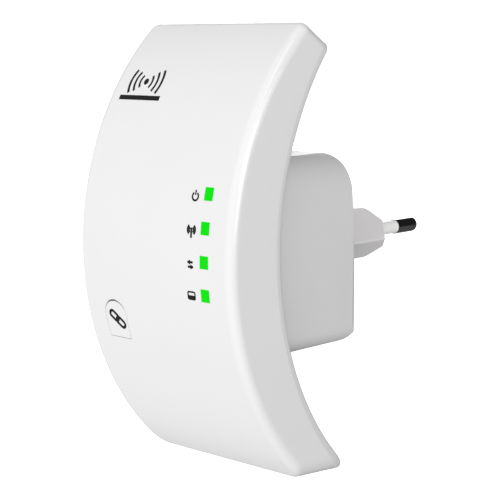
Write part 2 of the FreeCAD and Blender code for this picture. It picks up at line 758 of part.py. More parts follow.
def tube(points, radius, bend):
    """A round wire along straight runs joined by tangent arcs."""
    corners = [Vec(*p) for p in points]
    edges = []
    start = corners[0]
    for before, corner, after in zip(corners, corners[1:], corners[2:]):
        inward = (before - corner).normalize()
        outward = (after - corner).normalize()
        turn = math.pi - inward.getAngle(outward)
        back_off = bend * math.tan(turn / 2)
        first = corner + inward * back_off
        last = corner + outward * back_off
        middle_way = (inward + outward).normalize()
        centre_away = bend / math.cos(turn / 2)
        middle = corner + middle_way * (centre_away - bend)
        edges.append(Part.LineSegment(start, first).toShape())
        edges.append(Part.Arc(first, middle, last).toShape())
        start = last
    edges.append(Part.LineSegment(start, corners[-1]).toShape())
    path = Part.Wire(edges)
    way = (corners[1] - corners[0]).normalize()
    ring = Part.Wire([Part.makeCircle(radius, corners[0], way)])
    return path.makePipeShell([ring], True, False)


def antenna_lead(side):
    """A thin coaxial lead from the radio board's back to one antenna."""
    z = side * 27.0
    points = [
        (-6.0, RADIO_BACK_Y, z),
        (-6.0, RADIO_BACK_Y + 2.6, z),
        (-6.0, RADIO_BACK_Y + 3.6, z + side * 8.0),
        (-6.0, -53.6, side * 39.2),
    ]
    return tube(points, 0.55, 1.4)


def link_places():
    """The ten pin places of the header that joins the two upright boards."""
    pitch = 2.0
    return [(-4.0 + pitch * i, -4.2 - pitch * j) for i in range(5) for j in range(2)]


def link_header():
    """The two plastic strips of the board-to-board header."""
    near = box(-5.4, 5.4, RADIO_BACK_Y, RADIO_BACK_Y + 2.0, -7.4, -3.0)
    far = box(-5.4, 5.4, PORT_FRONT_Y - 6.0, PORT_FRONT_Y, -7.4, -3.0)
    for x, z in link_places():
        near = near.cut(rod_y(0.3, x, z, -70, -40))
        far = far.cut(rod_y(0.3, x, z, -70, -40))
    return Part.makeCompound([near, far])


def link_pins():
    """The ten pins of the board-to-board header."""
    pins = [rod_y(0.3, x, z, RADIO_FRONT_Y - 0.8, PORT_BACK_Y - 0.1) for x, z in link_places()]
    return Part.makeCompound(pins)


def port_board():
    """The upright board that carries the network jack and the reset switch."""
    board = slab(PORT_HALF_WIDTH, PORT_FRONT_Y, PORT_BACK_Y, PORT_BOTTOM_Z, PORT_TOP_Z)
    for x in (-PORT_SCREW_X, PORT_SCREW_X):
        board = board.cut(rod_y(SCREW_R + 0.2, x, PORT_SCREW_Z, -60, -40))
    for x, z in link_places():
        board = board.cut(rod_y(0.45, x, z, -60, -40))
    return board


def jack_mouth():
    """The space in the jack for a plug and its latch."""
    low = JACK_BOTTOM_Z - 5
    top = JACK_BOTTOM_Z + JACK_MOUTH_DEPTH
    plug = slab(JACK_MOUTH_HALF, JACK_MOUTH_FRONT_Y, JACK_MOUTH_REAR_Y, low, top)
    latch = slab(JACK_LATCH_HALF, JACK_MOUTH_REAR_Y - 1, JACK_LATCH_REAR_Y, low, top)
    return plug.fuse(latch).removeSplitter()


def jack_body(inset):
    """The jack's outer block, reduced by an inset on its sides and rear."""
    rear = PORT_BACK_Y + JACK_DEPTH - inset
    return slab(JACK_HALF_WIDTH - inset, PORT_BACK_Y, rear, JACK_BOTTOM_Z + inset, JACK_TOP_Z - inset)


def jack_shield():
    """The folded metal shell round the jack."""
    return jack_body(0.0).cut(jack_body(JACK_SHELL)).cut(jack_mouth())


def jack_housing():
    """The plastic inside of the jack, with slots for the contacts."""
    housing = jack_body(JACK_SHELL).cut(jack_mouth())
    low = JACK_BOTTOM_Z + 3.0
    for x in contact_places():
        slot = box(x - 0.3, x + 0.3, PORT_BACK_Y - 1, JACK_MOUTH_FRONT_Y + 0.1, low, -8.0)
        housing = housing.cut(slot)
    return housing


def contact_places():
    """X of each jack contact."""
    middle = (JACK_CONTACTS - 1) / 2
    return [(i - middle) * JACK_CONTACT_PITCH for i in range(JACK_CONTACTS)]


def jack_contacts():
    """Eight sprung wires that slope into the jack's mouth."""
    wires = []
    for x in contact_places():
        profile = [
            (x - 0.18, PORT_BACK_Y + 0.1, -9.2),
            (x - 0.18, PORT_BACK_Y + 0.5, -9.2),
            (x - 0.18, JACK_MOUTH_FRONT_Y + 1.0, -18.6),
            (x - 0.18, JACK_MOUTH_FRONT_Y + 0.6, -19.0),
        ]
        wires.append(prism(profile, (0.36, 0, 0)))
    return Part.makeCompound(wires)


def network_transformer():
    """The long signal transformer block beside the link header."""
    return box(-11.6, -4.4, PORT_FRONT_Y - 3.4, PORT_FRONT_Y, -21.0, -9.0)


def reset_switch():
    """The small tact switch above the pinhole, with a well for its plunger."""
    body = box(
        RESET_X - RESET_BODY_HALF, RESET_X + RESET_BODY_HALF, PORT_BACK_Y, RESET_Y + RESET_BODY_HALF,
        RESET_BODY_BOTTOM_Z, RESET_BODY_BOTTOM_Z + RESET_BODY_HEIGHT,
    )
    return body.cut(rod_z(RESET_PLUNGER_R + 0.05, RESET_X, RESET_Y, -30, RESET_BODY_BOTTOM_Z + 1.5))


def reset_plunger():
    """The reset switch's plunger, pressed through the pinhole."""
    foot = RESET_BODY_BOTTOM_Z - RESET_PLUNGER_PROUD
    return rod_z(RESET_PLUNGER_R, RESET_X, RESET_Y, foot, RESET_BODY_BOTTOM_Z + 0.9)


def power_board():
    """The flat mains board, slotted for the two pin terminals."""
    board = slab(POWER_HALF_WIDTH, POWER_FRONT_Y, POWER_REAR_Y, POWER_BOTTOM_Z, POWER_TOP_Z)
    low = POWER_BOTTOM_Z - 1
    high = POWER_TOP_Z + 1
    for x in (-PIN_X, PIN_X):
        slot = box(x - 0.7, x + 0.7, PIN_INNER_Y - TERMINAL_THICK - 0.1, PIN_INNER_Y + 0.1, low, high)
        board = board.cut(slot)
    isolation = box(-POWER_HALF_WIDTH + 4.0, -2.0, -38.4, -37.4, low, high)
    return board.cut(isolation)


def at_transformer(half_x, half_y, z0, z1):
    """A box centred on the transformer, its heights taken from the core's underside."""
    bottom = POWER_TOP_Z + 1.2
    return block_at(TRANSFORMER_X, TRANSFORMER_Y, half_x, half_y, bottom + z0, bottom + z1)


def transformer_core():
    """The ferrite frame round the coil: two side legs, a middle leg and two yokes."""
    window_top = CORE_HEIGHT - CORE_YOKE
    frame = at_transformer(CORE_HALF_WIDTH, CORE_HALF_DEPTH, 0.0, CORE_HEIGHT)
    window = at_transformer(CORE_HALF_WIDTH - CORE_LEG, CORE_HALF_DEPTH + 1, CORE_YOKE, window_top)
    middle = at_transformer(CORE_MIDDLE_HALF, CORE_HALF_DEPTH, CORE_YOKE, window_top)
    return fuse([frame.cut(window), middle])


def middle_leg_space():
    """The room that the coil and its former leave for the core's middle leg."""
    return at_transformer(CORE_MIDDLE_HALF + 0.1, CORE_HALF_DEPTH + 0.1, 0.0, CORE_HEIGHT)


def transformer_winding():
    """The taped coil round the middle leg."""
    coil = at_transformer(BOBBIN_HALF_WIDTH - 0.1, 5.6, 3.2, 9.8)
    coil = round_edges(coil, 1.6, lambda e: e.BoundBox.ZLength > 6)
    return coil.cut(middle_leg_space())


def transformer_bobbin():
    """The coil former's two flanges, the lower one with legs into the board."""
    bottom = POWER_TOP_Z + 1.2
    flanges = []
    for z in (2.45, 9.85):
        flanges.append(at_transformer(BOBBIN_HALF_WIDTH, 6.2, z, z + 0.7).cut(middle_leg_space()))
    feet = []
    for x in (-3.0, 0.0, 3.0):
        for y in (-5.4, 5.4):
            feet.append(rod_z(0.4, TRANSFORMER_X + x, TRANSFORMER_Y + y, POWER_TOP_Z, bottom + 2.6))
    lower = fuse([flanges[0]] + feet)
    return Part.makeCompound([lower, flanges[1]])


def can(x, y, radius, height):
    """One upright electrolytic capacitor with a soft top edge and a rolled groove."""
    body = rod_z(radius, x, y, POWER_TOP_Z, POWER_TOP_Z + height)
    body = round_edges(body, 0.5, lambda e: e.BoundBox.ZMin > POWER_TOP_Z + height - 0.1)
    groove = Part.makeTorus(radius + 0.1, 0.45, Vec(x, y, POWER_TOP_Z + 1.6), Vec(0, 0, 1))
    return body.cut(groove)


def input_capacitors():
    """The two mains smoothing capacitors."""
    return Part.makeCompound([can(7.4, -41.0, 3.9, 13.0), can(7.4, -49.6, 3.9, 13.0)])


def output_capacitor():
    """The low-voltage smoothing capacitor."""
    return can(-15.6, -35.4, 3.1, 10.5)


def fuse_resistor():
    """The fusible resistor lying by the live terminal."""
    body = Part.makeCylinder(1.6, 8.0, Vec(12.0, -34.6, POWER_TOP_Z + 1.9), Vec(0.0, -1, 0))
    body = body.fuse(Part.makeSphere(1.9, Vec(12.0, -35.0, POWER_TOP_Z + 1.9)))
    body = body.fuse(Part.makeSphere(1.9, Vec(12.0, -42.2, POWER_TOP_Z + 1.9)))
    return body.translated(Vec(2.3, 0, 0.05)).removeSplitter()


def input_choke():
    """The small drum choke of the mains filter."""
    drum = rod_z(2.5, 15.4, -49.0, POWER_TOP_Z, POWER_TOP_Z + 8.0)
    waist = rod_z(3.0, 15.4, -49.0, POWER_TOP_Z + 1.0, POWER_TOP_Z + 7.0)
    waist = waist.cut(rod_z(2.1, 15.4, -49.0, 0, 40))
    return drum.cut(waist)


def bridge_rectifier():
    """The four-leg bridge rectifier under the power board."""
    return box(4.0, 9.0, -41.0, -36.4, POWER_BOTTOM_Z - 2.4, POWER_BOTTOM_Z)


def power_chip():
    """The switching controller under the power board."""
    return box(-4.0, 1.0, -52.0, -46.0, POWER_BOTTOM_Z - 1.6, POWER_BOTTOM_Z)


def safety_capacitor():
    """The blue disc capacitor that bridges the isolation slot."""
    disc = Part.makeCylinder(3.2, 2.4, Vec(-2.6, -36.6, POWER_TOP_Z + 4.2), Vec(1, 0, 0))
    return round_edges(disc, 0.8, is_circle)


def output_diode():
    """The low-voltage rectifier diode standing by the transformer."""
    return box(-18.6, -16.4, -44.4, -40.0, POWER_TOP_Z, POWER_TOP_Z + 2.3)


def supply_wire(x):
    """One insulated wire from the power board's front edge to the radio board."""
    points = [
        (x, POWER_FRONT_Y + 3.0, POWER_TOP_Z),
        (x, POWER_FRONT_Y + 3.0, POWER_TOP_Z + 9.0),
        (x, RADIO_BACK_Y, POWER_TOP_Z + 9.0),
    ]
    return tube(points, 0.65, 3.0)


def screw(x, z, head_y, length, head_side):
    """One cross-head screw along Y; head_side is +1 when the head faces +Y."""
    shank_ends = sorted((head_y, head_y - head_side * length))
    shank = rod_y(SCREW_R, x, z, *shank_ends)
    top = head_y + head_side * SCREW_HEAD_HEIGHT
    head = rod_y(SCREW_HEAD_R, x, z, *sorted((head_y, top)))
    head = round_edges(head, SCREW_HEAD_ROUND, lambda e: is_circle(e) and abs(e.BoundBox.YMin - top) < 0.01)
    whole = head.fuse(shank).removeSplitter()
    floor = top - head_side * CROSS_DEPTH
    for wide, tall in ((CROSS_HALF_LENGTH, CROSS_HALF_WIDTH), (CROSS_HALF_WIDTH, CROSS_HALF_LENGTH)):
        whole = whole.cut(box(x - wide, x + wide, *sorted((top, floor)), z - tall, z + tall))
    return whole


def is_circle(edge):
    """Whether an edge is a circle or part of one."""
    return edge.Curve.TypeId == "Part::GeomCircle"


def board_screws():
    """Four screws that hold the radio board to the front cover."""
    places = [(x, z) for x in (-RADIO_SCREW_X, RADIO_SCREW_X) for z in (-RADIO_SCREW_Z, RADIO_SCREW_Z)]
    return Part.makeCompound([screw(x, z, RADIO_BACK_Y, 3.6, 1) for x, z in places])


def case_screws():
    """Four long screws that close the case from the back."""
    places = [(x, z) for x in (-CASE_SCREW_X, CASE_SCREW_X) for z in (-CASE_SCREW_Z, CASE_SCREW_Z)]
    return Part.makeCompound([screw(x, z, CASE_SCREW_HEAD_Y, 7.6, 1) for x, z in places])


def port_screws():
    """Two screws that hold the port board to the pod's posts."""
    places = (-PORT_SCREW_X, PORT_SCREW_X)
    return Part.makeCompound([screw(x, PORT_SCREW_Z, PORT_FRONT_Y, 7.0, -1) for x in places])


def pod_rear_y(z):
    """Y of the pod's sloped rear face at height z."""
    share = (z - POD_BOTTOM_Z) / (POD_TOP_Z - POD_BOTTOM_Z)
    return POD_REAR_BOTTOM_Y + (POD_REAR_TOP_Y - POD_REAR_BOTTOM_Y) * share


def rating_label():
    """A blank label stuck on the pod's rear face under the plug."""
    low_y = pod_rear_y(LABEL_BOTTOM_Z)
    top_y = pod_rear_y(LABEL_TOP_Z)
    outline = [
        (-LABEL_HALF_WIDTH, low_y, LABEL_BOTTOM_Z),
        (-LABEL_HALF_WIDTH, low_y + LABEL_THICK, LABEL_BOTTOM_Z),
        (-LABEL_HALF_WIDTH, top_y + LABEL_THICK, LABEL_TOP_Z),
        (-LABEL_HALF_WIDTH, top_y, LABEL_TOP_Z),
    ]
    label = prism(outline, (2 * LABEL_HALF_WIDTH, 0, 0))
    return round_edges(label, 1.0, lambda e: e.Length < 2 * LABEL_THICK)


def all_parts():
    """Every piece of the object by name."""
    block = case_block()
    return {
        "front_cover": front_cover(block),
        "rear_cover": rear_cover(block),
        "wps_button": wps_button(),
        "light_guide": light_guide(),
        "plug_base": plug_base(),
        "live_pin": plug_pin(PIN_X),
        "neutral_pin": plug_pin(-PIN_X),
        "pin_sleeves": pin_sleeves(),
        "pin_terminals": pin_terminals(),
        "radio_board": radio_board(),
        "main_chip": main_chip(),
        "flash_chip": flash_chip(),
        "rf_shield": rf_shield(),
        "crystal": crystal(),
        "indicator_leds": indicator_leds(),
        "wps_switch": wps_switch(),
        "wps_plunger": wps_plunger(),
        "radio_small_parts": radio_small_parts(),
        "supply_inductor": supply_inductor(),
        "upper_antenna": upper_antenna(),
        "lower_antenna": lower_antenna(),
        "upper_antenna_lead": antenna_lead(1),
        "lower_antenna_lead": antenna_lead(-1),
        "link_header": link_header(),
        "link_pins": link_pins(),
        "port_board": port_board(),
        "jack_shield": jack_shield(),
        "jack_housing": jack_housing(),
        "jack_contacts": jack_contacts(),
        "network_transformer": network_transformer(),
        "reset_switch": reset_switch(),
        "reset_plunger": reset_plunger(),
        "power_board": power_board(),
        "transformer_core": transformer_core(),
        "transformer_winding": transformer_winding(),
        "transformer_bobbin": transformer_bobbin(),
        "input_capacitors": input_capacitors(),
        "output_capacitor": output_capacitor(),
        "fuse_resistor": fuse_resistor(),
        "input_choke": input_choke(),
        "bridge_rectifier": bridge_rectifier(),
        "power_chip": power_chip(),
        "safety_capacitor": safety_capacitor(),
        "output_diode": output_diode(),
        "supply_wire": supply_wire(15.6),
        "return_wire": supply_wire(18.0),
        "board_screws": board_screws(),
        "case_screws": case_screws(),
        "port_screws": port_screws(),
        "rating_label": rating_label(),
    }


def main():
    """Write one STEP file for each piece."""
    os.makedirs("parts", exist_ok=True)
    for name, shape in all_parts().items():
        if not shape.isValid() or shape.Volume <= 0:
            print("NOT VALID", name)
        shape.exportStep("parts/" + name + ".step")
        print(name, len(shape.Solids), round(shape.Volume, 2))


main()
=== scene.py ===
import json
import math

import bmesh
import bpy
from mathutils import Matrix, Vector


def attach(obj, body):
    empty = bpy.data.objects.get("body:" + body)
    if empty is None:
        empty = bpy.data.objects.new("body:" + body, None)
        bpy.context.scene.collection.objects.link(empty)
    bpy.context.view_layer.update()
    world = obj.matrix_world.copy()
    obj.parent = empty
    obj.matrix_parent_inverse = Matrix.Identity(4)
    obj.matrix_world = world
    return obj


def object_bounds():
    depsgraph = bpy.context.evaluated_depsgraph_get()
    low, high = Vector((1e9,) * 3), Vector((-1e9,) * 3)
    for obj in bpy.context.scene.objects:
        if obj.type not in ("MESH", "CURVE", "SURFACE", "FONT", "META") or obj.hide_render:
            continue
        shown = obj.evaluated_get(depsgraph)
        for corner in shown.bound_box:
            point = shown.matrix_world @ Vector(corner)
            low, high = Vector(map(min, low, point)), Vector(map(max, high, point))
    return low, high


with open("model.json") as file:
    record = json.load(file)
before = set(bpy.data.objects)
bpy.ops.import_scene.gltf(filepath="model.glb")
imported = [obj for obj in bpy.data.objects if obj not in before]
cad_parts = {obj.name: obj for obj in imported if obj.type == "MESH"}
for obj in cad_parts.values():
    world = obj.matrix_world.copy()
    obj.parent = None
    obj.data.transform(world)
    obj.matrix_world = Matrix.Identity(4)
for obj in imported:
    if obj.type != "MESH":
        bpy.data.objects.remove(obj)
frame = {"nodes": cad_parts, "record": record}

CAD_LOW, CAD_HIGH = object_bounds()
NODES = frame["nodes"]
MM = 0.001

# ---- camera: a long lens, 43 degrees round to the right and 8.4 degrees up ----
CAMERA_TURN = math.radians(42.92)
CAMERA_RISE = math.radians(8.35)
CAMERA_DISTANCE = 0.3387
CAMERA_ASIDE = 0.0237
CAMERA_ABOVE = 0.0015
CAMERA_LENS = 101.9
SENSOR = 36.0

# ---- case curves, the same as the CAD's, in metres ----
FRONT_RADIUS = 72.5 * MM
FRONT_AXIS_Y = -1.1 * MM
FRONT_AXIS_Z = 0.0 * MM

# ---- stage ----
FLOOR_GAP = 0.5 * MM
FLOOR_RADIUS = 2.0
COVE_RADIUS = 0.8
COVE_STEPS = 12
WALL_HEIGHT = 6.0
FLOOR_SIDES = 64
WORLD_BRIGHT_SIDE = (-0.34, -0.92, -0.18)
WORLD_BLEND = 0.5
WORLD_LOW = 0.14
WORLD_HIGH = 1.00
LIGHTS_AIM = (0.0, -0.05, 0.0)
SIDE_LIGHT = {"place": (0.96, -0.15, 0.2), "size": (0.5, 0.5), "power": 3.4}
EDGE_LIGHT = {"place": (0.62, -0.38, 0.6), "size": (0.15, 1.0), "power": 1.2}
BACK_LIGHT = {"place": (-0.75, 0.8, 0.25), "size": (0.6, 0.6), "power": 3.5}
REAR_CARD_PLACE = (0.3, 0.9, 0.45)
REAR_CARD_SIZE = (2.0, 1.3)

# ---- finishes ----
METAL_RELIEF = 0.004 * MM
BLACK_CARD_COLOUR = (0.01, 0.01, 0.01, 1.0)
PAPER_COLOUR = (0.92, 0.92, 0.92, 1.0)
PAPER_GLOW = 0.85

# ---- printed symbols, in millimetres on the front ----
SYMBOL_X = 13.4
POWER_Z = 15.5
SIGNAL_Z = 7.3
TRAFFIC_Z = -0.6
COMPUTER_Z = -8.0
LINK_X = -14.6
LINK_Z = -17.5
LINK_SLOPE = -38.0
BROADCAST_X = -14.6
BROADCAST_Z = 41.0
PRINT_PROUD = 0.03 * MM
PRINT_DEPTH = 0.05 * MM


# ------------------------------------------------------------------ materials
def new_material(name):
    """An empty node material with a Principled shader; returns (material, nodes, links, shader)."""
    material = bpy.data.materials.new(name)
    material.use_nodes = True
    nodes = material.node_tree.nodes
    return material, nodes, material.node_tree.links, nodes["Principled BSDF"]


def noise(nodes, links, scale, detail=3.0, roughness=0.55, stretch=None):
    """A noise texture in object space, optionally stretched along an axis."""
    texture = nodes.new("ShaderNodeTexNoise")
    texture.inputs["Scale"].default_value = scale
    texture.inputs["Detail"].default_value = detail
    texture.inputs["Roughness"].default_value = roughness
    coords = nodes.new("ShaderNodeTexCoord")
    if stretch is None:
        links.new(coords.outputs["Object"], texture.inputs["Vector"])
    else:
        mapping = nodes.new("ShaderNodeMapping")
        mapping.inputs["Scale"].default_value = stretch
        links.new(coords.outputs["Object"], mapping.inputs["Vector"])
        links.new(mapping.outputs["Vector"], texture.inputs["Vector"])
    return texture


def vary_roughness(nodes, links, shader, texture, low, high):
    """Roughness runs from low to high with the texture."""
    spread = nodes.new("ShaderNodeMapRange")
    spread.inputs["From Min"].default_value = 0.3
    spread.inputs["From Max"].default_value = 0.7
    spread.inputs["To Min"].default_value = low
    spread.inputs["To Max"].default_value = high
    links.new(texture.outputs["Fac"], spread.inputs["Value"])
    links.new(spread.outputs["Result"], shader.inputs["Roughness"])


def vary_colour(nodes, links, shader, texture, first, second):
    """Base colour runs from first to second with the texture."""
    ramp = nodes.new("ShaderNodeValToRGB")
    ramp.color_ramp.elements[0].position = 0.35
    ramp.color_ramp.elements[0].color = (*first, 1.0)
    ramp.color_ramp.elements[1].position = 0.65
    ramp.color_ramp.elements[1].color = (*second, 1.0)
    links.new(texture.outputs["Fac"], ramp.inputs["Fac"])
    links.new(ramp.outputs["Color"], shader.inputs["Base Color"])


def add_bump(nodes, links, shader, texture, strength, depth):
    """A small surface relief from the texture."""
    bump = nodes.new("ShaderNodeBump")
    bump.inputs["Strength"].default_value = strength
    bump.inputs["Distance"].default_value = depth
    links.new(texture.outputs["Fac"], bump.inputs["Height"])
    links.new(bump.outputs["Normal"], shader.inputs["Normal"])


def tint(colour, factor):
    """A colour made lighter or darker."""
    return tuple(min(1.0, c * factor) for c in colour)


def plastic(name, colour, gloss, grain_scale, grain_depth, coat=0.0, spread=0.012, shine=0.5):
    """Moulded plastic: a faint tone change, uneven gloss and a fine moulded grain."""
    material, nodes, links, shader = new_material(name)
    broad = noise(nodes, links, 60.0, 2.0)
    grain = noise(nodes, links, grain_scale, 4.0, 0.6)
    vary_colour(nodes, links, shader, broad, tint(colour, 1.0 - spread), tint(colour, 1.0 + spread))
    vary_roughness(nodes, links, shader, broad, gloss * 0.88, gloss * 1.12)
    add_bump(nodes, links, shader, grain, 0.25, grain_depth)
    shader.inputs["IOR"].default_value = 1.5
    shader.inputs["Specular IOR Level"].default_value = shine
    shader.inputs["Coat Weight"].default_value = coat
    shader.inputs["Coat Roughness"].default_value = 0.08
    return material


def metal(name, colour, gloss, stretch=(1.0, 1.0, 1.0)):
    """Plated or drawn metal with fine drawing lines."""
    material, nodes, links, shader = new_material(name)
    lines = noise(nodes, links, 900.0, 5.0, 0.6, stretch)
    broad = noise(nodes, links, 150.0, 2.0)
    vary_colour(nodes, links, shader, broad, tint(colour, 0.94), tint(colour, 1.04))
    vary_roughness(nodes, links, shader, lines, gloss * 0.7, gloss * 1.4)
    add_bump(nodes, links, shader, lines, 0.2, METAL_RELIEF)
    shader.inputs["Metallic"].default_value = 1.0
    return material


def lit_plastic(name, colour, power):
    """The light guide: glossy green plastic that glows."""
    material, nodes, links, shader = new_material(name)
    cloud = noise(nodes, links, 500.0, 2.0)
    vary_colour(nodes, links, shader, cloud, tint(colour, 0.96), tint(colour, 1.04))
    vary_roughness(nodes, links, shader, cloud, 0.2, 0.3)
    add_bump(nodes, links, shader, cloud, 0.1, 0.01 * MM)
    shader.inputs["Emission Color"].default_value = (*colour, 1.0)
    shader.inputs["Emission Strength"].default_value = power
    shader.inputs["Specular IOR Level"].default_value = 0.03
    return material


def board(name, colour, bare):
    """A circuit board: solder mask over faint copper tracks."""
    material, nodes, links, shader = new_material(name)
    brick = nodes.new("ShaderNodeTexBrick")
    brick.inputs["Scale"].default_value = 260.0
    brick.inputs["Mortar Size"].default_value = 0.03
    brick.inputs["Color1"].default_value = (*colour, 1.0)
    brick.inputs["Color2"].default_value = (*tint(colour, 1.25), 1.0)
    brick.inputs["Mortar"].default_value = (*bare, 1.0)
    coords = nodes.new("ShaderNodeTexCoord")
    turn = nodes.new("ShaderNodeMapping")
    turn.inputs["Rotation"].default_value = (math.radians(90.0), 0.0, 0.0)
    links.new(coords.outputs["Object"], turn.inputs["Vector"])
    links.new(turn.outputs["Vector"], brick.inputs["Vector"])
    links.new(brick.outputs["Color"], shader.inputs["Base Color"])
    weave = noise(nodes, links, 1800.0, 2.0)
    vary_roughness(nodes, links, shader, weave, 0.3, 0.45)
    add_bump(nodes, links, shader, weave, 0.15, 0.01 * MM)
    return material


MATERIALS = {
    "case_white": lambda n: plastic(n, (0.86, 0.86, 0.86), 0.24, 700.0, 0.004 * MM, coat=0.4, spread=0.004),
    "pod_white": lambda n: plastic(n, (0.72, 0.72, 0.725), 0.42, 2600.0, 0.012 * MM, spread=0.006),
    "button_white": lambda n: plastic(n, (0.86, 0.86, 0.86), 0.26, 700.0, 0.004 * MM, coat=0.4, spread=0.004),
    "plug_grey": lambda n: plastic(n, (0.80, 0.785, 0.785), 0.4, 2600.0, 0.012 * MM),
    "sleeve_white": lambda n: plastic(n, (0.98, 0.98, 0.97), 0.35, 1800.0, 0.008 * MM),
    "pin_nickel": lambda n: metal(n, (0.36, 0.36, 0.36), 0.12, (1.0, 6.0, 1.0)),
    "led_green": lambda n: lit_plastic(n, (0.002, 0.45, 0.003), 0.78),
    "led_body": lambda n: plastic(n, (0.8, 0.8, 0.66), 0.4, 1500.0, 0.01 * MM),
    "board_green": lambda n: board(n, (0.01, 0.11, 0.03), (0.03, 0.2, 0.06)),
    "board_tan": lambda n: board(n, (0.42, 0.28, 0.1), (0.6, 0.42, 0.2)),
    "chip_black": lambda n: plastic(n, (0.018, 0.018, 0.02), 0.5, 3000.0, 0.02 * MM, spread=0.1),
    "can_metal": lambda n: metal(n, (0.62, 0.62, 0.61), 0.3, (1.0, 1.0, 12.0)),
    "contact_gold": lambda n: metal(n, (0.83, 0.6, 0.2), 0.2, (1.0, 1.0, 8.0)),
    "terminal_brass": lambda n: metal(n, (0.7, 0.5, 0.22), 0.3),
    "plastic_black": lambda n: plastic(n, (0.022, 0.022, 0.024), 0.42, 2200.0, 0.012 * MM, spread=0.1),
    "chip_parts": lambda n: plastic(n, (0.2, 0.14, 0.09), 0.4, 2500.0, 0.012 * MM, spread=0.3),
    "ferrite": lambda n: plastic(n, (0.03, 0.03, 0.033), 0.55, 1500.0, 0.03 * MM, spread=0.2),
    "tape_yellow": lambda n: plastic(n, (0.72, 0.42, 0.02), 0.25, 900.0, 0.02 * MM, spread=0.08),
    "capacitor_sleeve": lambda n: plastic(n, (0.015, 0.02, 0.06), 0.3, 1200.0, 0.01 * MM, spread=0.1),
    "resistor_body": lambda n: plastic(n, (0.1, 0.21, 0.17), 0.4, 1500.0, 0.02 * MM, spread=0.1),
    "disc_blue": lambda n: plastic(n, (0.02, 0.08, 0.35), 0.2, 900.0, 0.02 * MM, coat=0.5, spread=0.08),
    "wire_red": lambda n: plastic(n, (0.45, 0.01, 0.01), 0.4, 1500.0, 0.01 * MM, spread=0.06),
    "wire_black": lambda n: plastic(n, (0.012, 0.012, 0.012), 0.4, 1500.0, 0.01 * MM, spread=0.1),
    "lead_grey": lambda n: plastic(n, (0.22, 0.22, 0.23), 0.45, 1500.0, 0.01 * MM, spread=0.06),
    "antenna_copper": lambda n: metal(n, (0.78, 0.42, 0.22), 0.3, (8.0, 1.0, 1.0)),
    "screw_steel": lambda n: metal(n, (0.52, 0.52, 0.52), 0.28, (1.0, 10.0, 1.0)),
    "label_paper": lambda n: plastic(n, (0.74, 0.74, 0.74), 0.5, 1200.0, 0.01 * MM, spread=0.02),
}


def dress_cad_nodes():
    """Every CAD node takes its slot's material."""
    made = {slot: build(slot) for slot, build in MATERIALS.items()}
    for row in frame["record"]["subparts"]:
        node = NODES[row["node"]]
        node.data.materials.clear()
        node.data.materials.append(made[row["material_slot"]])


# ------------------------------------------------------------------ printed symbols
def front_y(z):
    """Y of the front face at height z."""
    return FRONT_AXIS_Y - math.sqrt(FRONT_RADIUS ** 2 - (z - FRONT_AXIS_Z) ** 2)


def on_front(x, z, proud):
    """A point on the front face, moved out along the face's own normal."""
    y = front_y(z)
    out = Vector((0.0, y - FRONT_AXIS_Y, z - FRONT_AXIS_Z)).normalized()
    return Vector((x, y, z)) + out * proud


def arc(x, z, radius, start, end, steps=24):
    """Points along an arc, angles in degrees anticlockwise from +X."""
    points = []
    for i in range(steps + 1):
        angle = math.radians(start + (end - start) * i / steps)
        points.append((x + radius * math.cos(angle), z + radius * math.sin(angle)))
    return points


def line(x0, z0, x1, z1, steps=6):
    """Points along a straight line."""
    return [(x0 + (x1 - x0) * i / steps, z0 + (z1 - z0) * i / steps) for i in range(steps + 1)]


def add_layered(mesh, left, right, closed):
    """A thin closed strip between two rows of points, laid on the front face."""
    rows = []
    around = ((left, PRINT_PROUD), (right, PRINT_PROUD), (right, -PRINT_DEPTH), (left, -PRINT_DEPTH))
    for row, proud in around:
        rows.append([mesh.verts.new(on_front(x * MM, z * MM, proud)) for x, z in row])
    count = len(left)
    last = count if closed else count - 1
    for i in range(last):
        j = (i + 1) % count
        for k in range(4):
            a, b = rows[k], rows[(k + 1) % 4]
            mesh.faces.new((a[i], b[i], b[j], a[j]))
    if not closed:
        mesh.faces.new([rows[k][0] for k in (3, 2, 1, 0)])
        mesh.faces.new([rows[k][-1] for k in range(4)])


def stroke(mesh, path, width, end_width=None, closed=False):
    """A pen stroke along a path, with an even or a tapering width."""
    end_width = width if end_width is None else end_width
    left, right = [], []
    count = len(path)
    for i, (x, z) in enumerate(path):
        before = path[i - 1] if (i > 0 or closed) else path[i]
        after = path[(i + 1) % count] if (i < count - 1 or closed) else path[i]
        along = Vector((after[0] - before[0], after[1] - before[1])).normalized()
        half = (width + (end_width - width) * i / max(1, count - 1)) / 2
        left.append((x - along.y * half, z + along.x * half))
        right.append((x + along.y * half, z - along.x * half))
    add_layered(mesh, left, right, closed)


def disc(mesh, x, z, radius):
    """A filled dot, as a spindle-shaped strip."""
    steps = 20
    left, right = [], []
    for i in range(steps + 1):
        angle = math.pi * (0.02 + 0.96 * i / steps)
        left.append((x - radius * math.sin(angle), z + radius * math.cos(angle)))
        right.append((x + radius * math.sin(angle), z + radius * math.cos(angle)))
    add_layered(mesh, right, left, False)


def ring_box(x, z, half_w, half_h, corner, steps=6):
    """Points round a rectangle with rounded corners."""
    points = []
    corners = ((1, 1, 0), (-1, 1, 90), (-1, -1, 180), (1, -1, 270))
    for side_x, side_z, start in corners:
        corner_x = x + side_x * (half_w - corner)
        corner_z = z + side_z * (half_h - corner)
        points += arc(corner_x, corner_z, corner, start, start + 90, steps)
    return points


def finish_print(mesh, name, body, material):
    """Turn the drawn strips into one piece that rides on a body."""
    bmesh.ops.recalc_face_normals(mesh, faces=mesh.faces)
    data = bpy.data.meshes.new(name)
    mesh.to_mesh(data)
    mesh.free()
    data.materials.append(material)
    piece = bpy.data.objects.new(name, data)
    bpy.context.scene.collection.objects.link(piece)
    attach(piece, body)
    return piece


